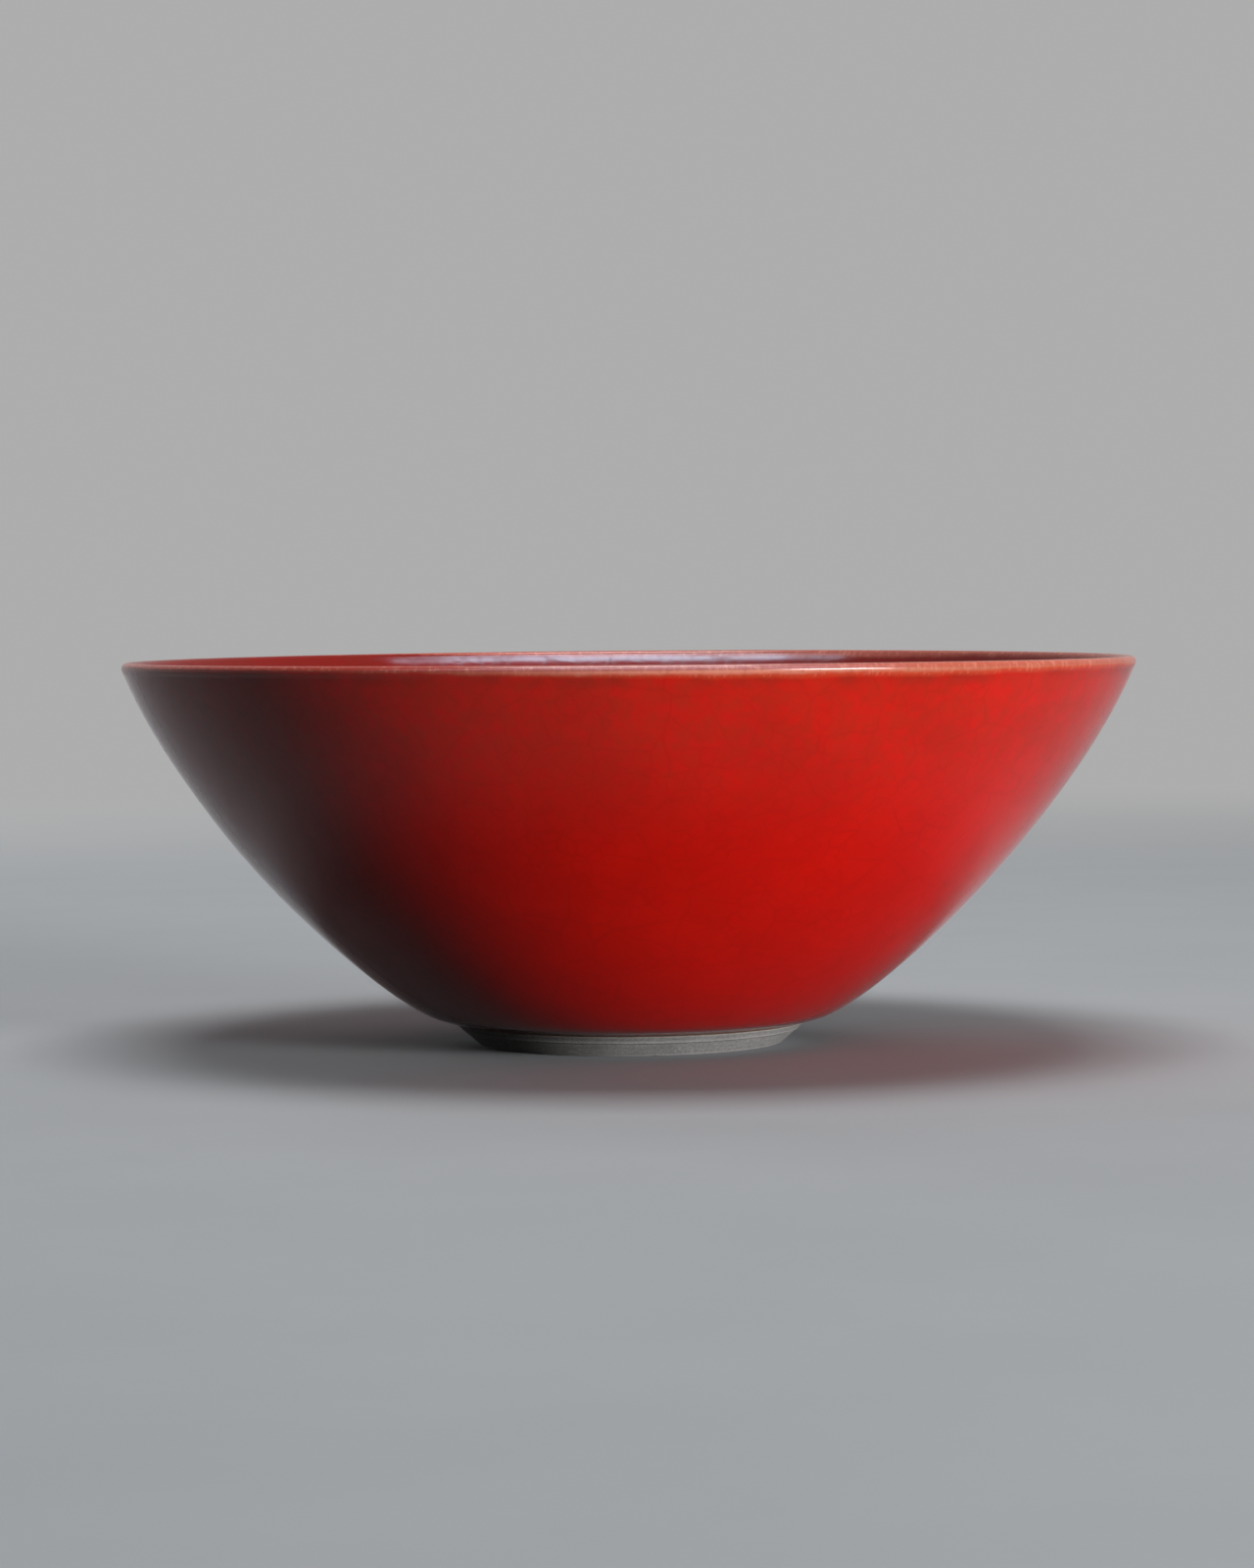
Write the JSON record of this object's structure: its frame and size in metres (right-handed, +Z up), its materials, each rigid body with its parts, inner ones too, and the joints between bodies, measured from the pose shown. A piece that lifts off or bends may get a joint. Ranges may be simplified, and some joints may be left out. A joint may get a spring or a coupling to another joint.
{
  "type": "glazed bowl",
  "caption": "Wide flaring round bowl with a thin rounded lip, a glossy coat inside and outside, and a low bare turned foot ring that it stands on.",
  "frame": {"origin": "on the bowl's axis, in the plane of the foot ring's contact face", "axes": "+Z up along the bowl's axis, out of its mouth; X and Y level"},
  "size_m": [0.18, 0.18, 0.0686],
  "materials": {
    "bare_clay": "fired, unglazed, finely turned, matt",
    "red_coat": "glossy red with a fine crackle",
    "pale_lip_coat": "glossy, thin and pale where the red has run off the lip"
  },
  "bodies": {
    "root": {"clay_body": "bare_clay", "foot_ring": "bare_clay", "outer_coat": "red_coat", "inner_coat": "red_coat", "lip_coat": "pale_lip_coat"}
  },
  "joints": []
}
